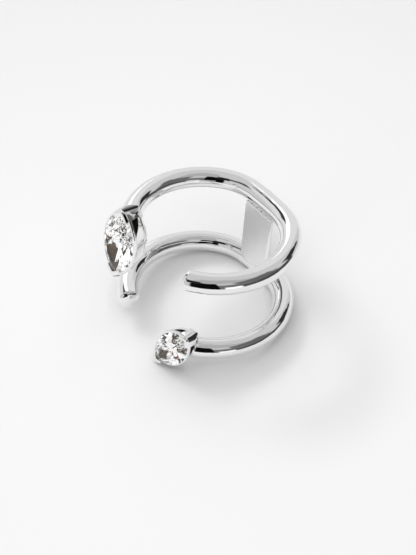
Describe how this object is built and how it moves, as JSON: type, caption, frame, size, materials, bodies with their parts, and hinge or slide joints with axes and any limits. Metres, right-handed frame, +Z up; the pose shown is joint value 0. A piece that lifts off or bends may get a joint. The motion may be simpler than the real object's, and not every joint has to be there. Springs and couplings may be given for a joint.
{
  "type": "open finger ring",
  "caption": "Open finger ring of round wire bands joined by a bridge plate, with a clear marquise stone in a V-prong cup at one end of each band, lying on its side.",
  "frame": {"origin": "on the table, under the middle of the ring's box", "axes": "+Z up from the table, about 6 degrees off the finger axis; the stones face out towards -X and -Y"},
  "size_m": [0.0238, 0.0246, 0.0198],
  "materials": {
    "silver": "polished silver",
    "stone": "clear faceted stone"
  },
  "bodies": {
    "root": {"ring_body": "silver", "stone_large": "stone", "stone_small": "stone"}
  },
  "joints": []
}
